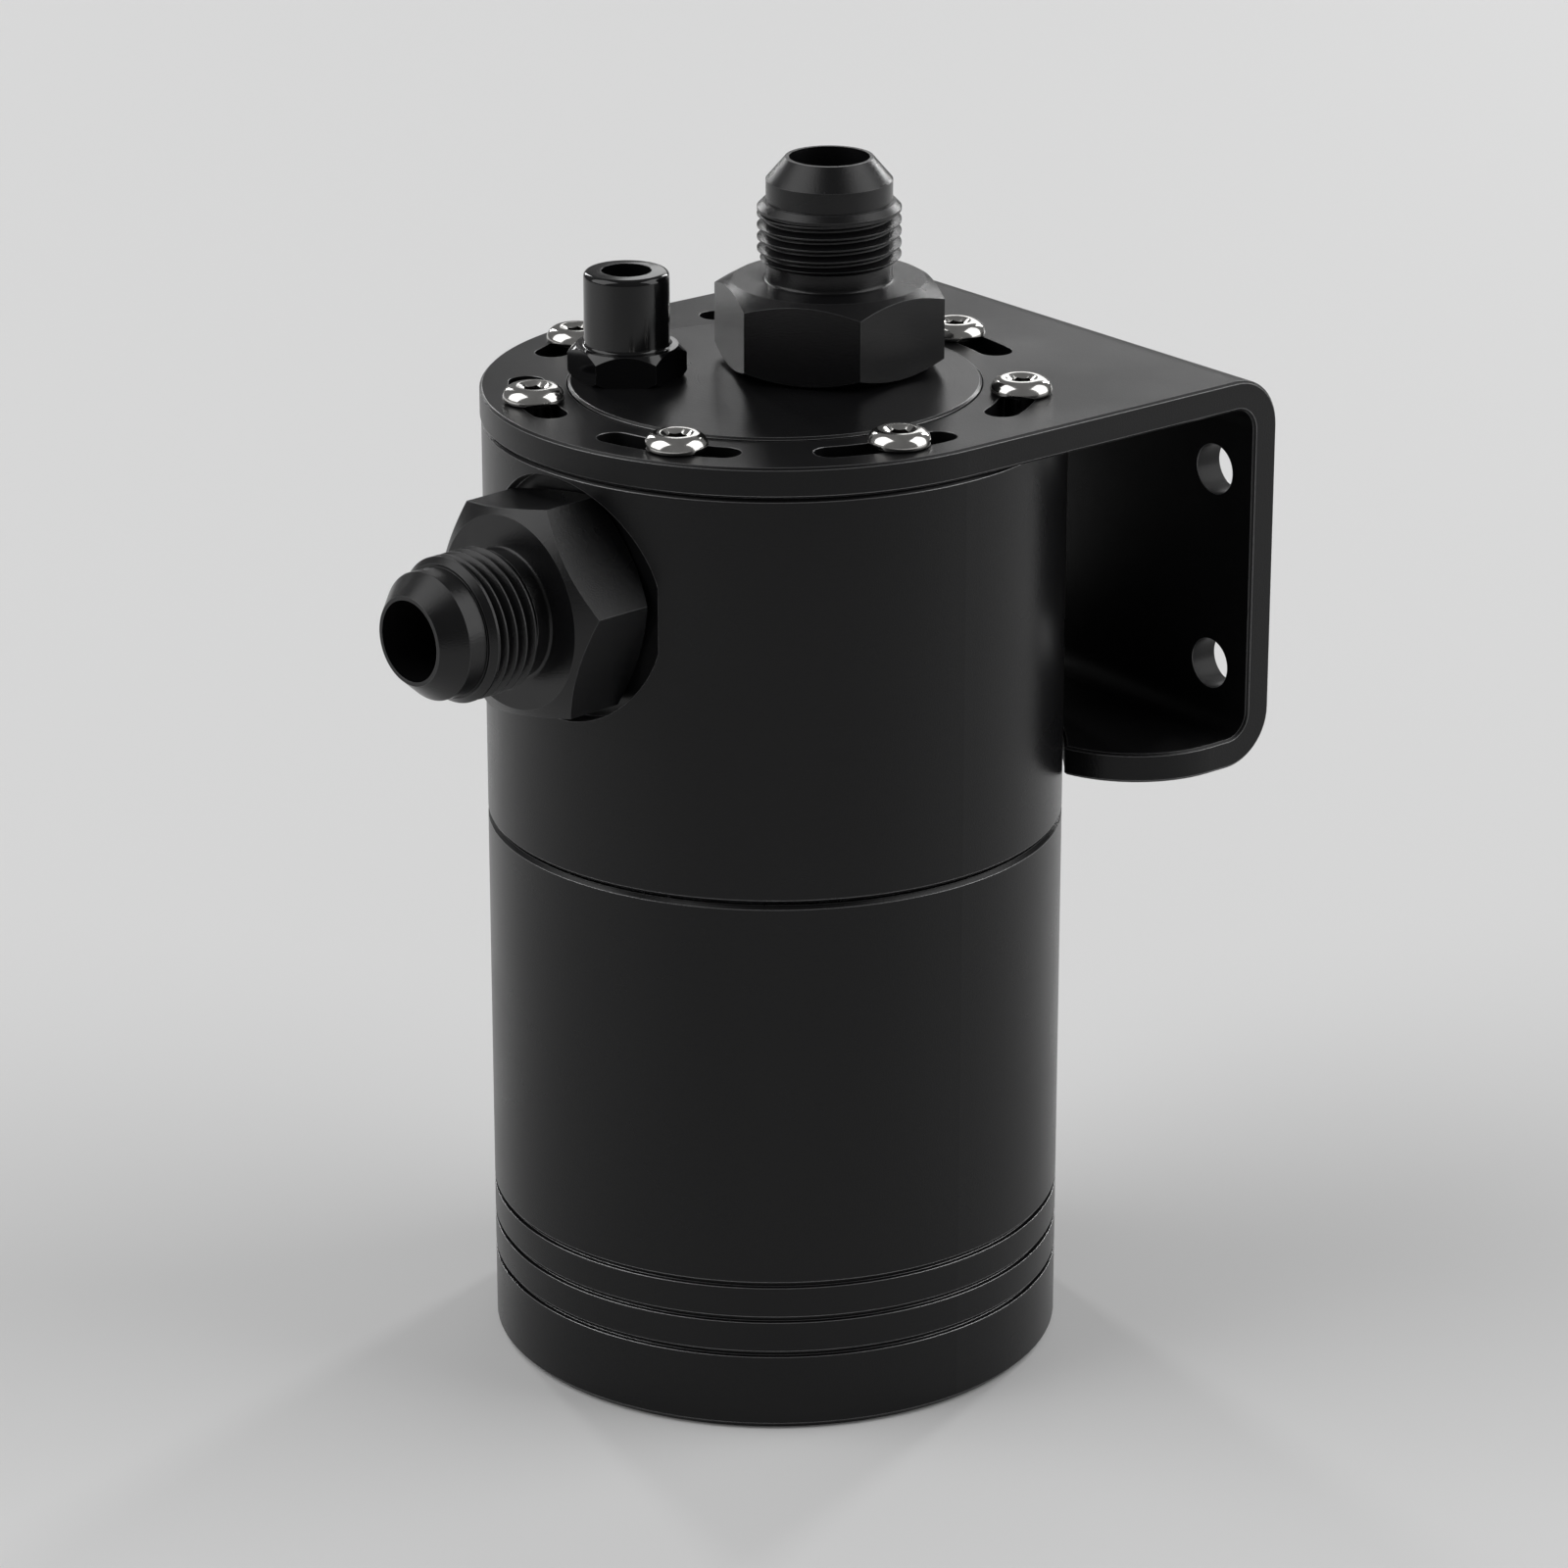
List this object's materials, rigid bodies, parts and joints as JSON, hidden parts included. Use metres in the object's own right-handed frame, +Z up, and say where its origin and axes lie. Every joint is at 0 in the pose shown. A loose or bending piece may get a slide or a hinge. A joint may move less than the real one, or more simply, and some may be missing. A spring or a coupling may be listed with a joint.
{
  "type": "oil catch can",
  "caption": "Round two-part oil catch can hung from a slotted plate bracket, with a flare fitting on top, another on the side and a short plain nipple.",
  "frame": {"origin": "centre of the can's flat bottom", "axes": "+Z up along the can's axis, +Y out of the bracket's mounting face"},
  "size_m": [0.0904, 0.1372, 0.189],
  "materials": {
    "anodised_can": "satin black anodised, fine turned grain",
    "anodised_bracket": "satin black anodised plate, bright broken edges",
    "anodised_fitting": "semi-gloss black anodised",
    "gloss_black_fitting": "gloss black anodised",
    "stainless": "polished stainless",
    "plain_aluminium": "as machined",
    "sheet_steel": "bare sheet",
    "brass_mesh": "bare",
    "seal_rubber": "matt"
  },
  "bodies": {
    "bracket": {"mounting_bracket": "anodised_bracket"},
    "head": {"upper_housing": "anodised_can", "bracket_screw_1": "stainless", "bracket_screw_2": "stainless", "bracket_screw_3": "stainless", "bracket_screw_4": "stainless", "bracket_screw_5": "stainless", "bracket_screw_6": "stainless", "bracket_screw_7": "stainless", "top_fitting": "anodised_fitting", "top_fitting_seal": "seal_rubber", "side_fitting": "anodised_fitting", "side_fitting_seal": "seal_rubber", "stub_fitting": "gloss_black_fitting", "stub_seal": "seal_rubber", "filter_collar": "plain_aluminium", "filter_screen": "brass_mesh", "filter_cap": "plain_aluminium", "baffle_plate": "plain_aluminium", "baffle_screw_1": "stainless", "baffle_screw_2": "stainless", "baffle_screw_3": "stainless", "inlet_deflector": "sheet_steel", "deflector_screw_1": "stainless", "deflector_screw_2": "stainless"},
    "bowl_seal": {"reservoir_seal": "seal_rubber"},
    "bowl": {"reservoir": "anodised_can"}
  },
  "joints": [
    {"name": "head_clock", "type": "hinge", "parent": "bracket", "child": "head", "pos_m": [0, 0, 0.1511], "axis": [0, 0, 1], "range_deg": [-16.5, 11.2]},
    {"name": "bowl_slide", "type": "slide", "parent": "head", "child": "bowl_seal", "axis": [0, 0, -1], "range_m": [0, 0.0095]},
    {"name": "bowl_turn", "type": "hinge", "parent": "bowl_seal", "child": "bowl", "pos_m": [0, 0, 0.0871], "axis": [0, 0, -1], "range_deg": [0, 1700]}
  ],
  "couplings": [
    {"joint": "bowl_slide", "follows": "bowl_turn", "m_per_rad": 0.00031831}
  ]
}
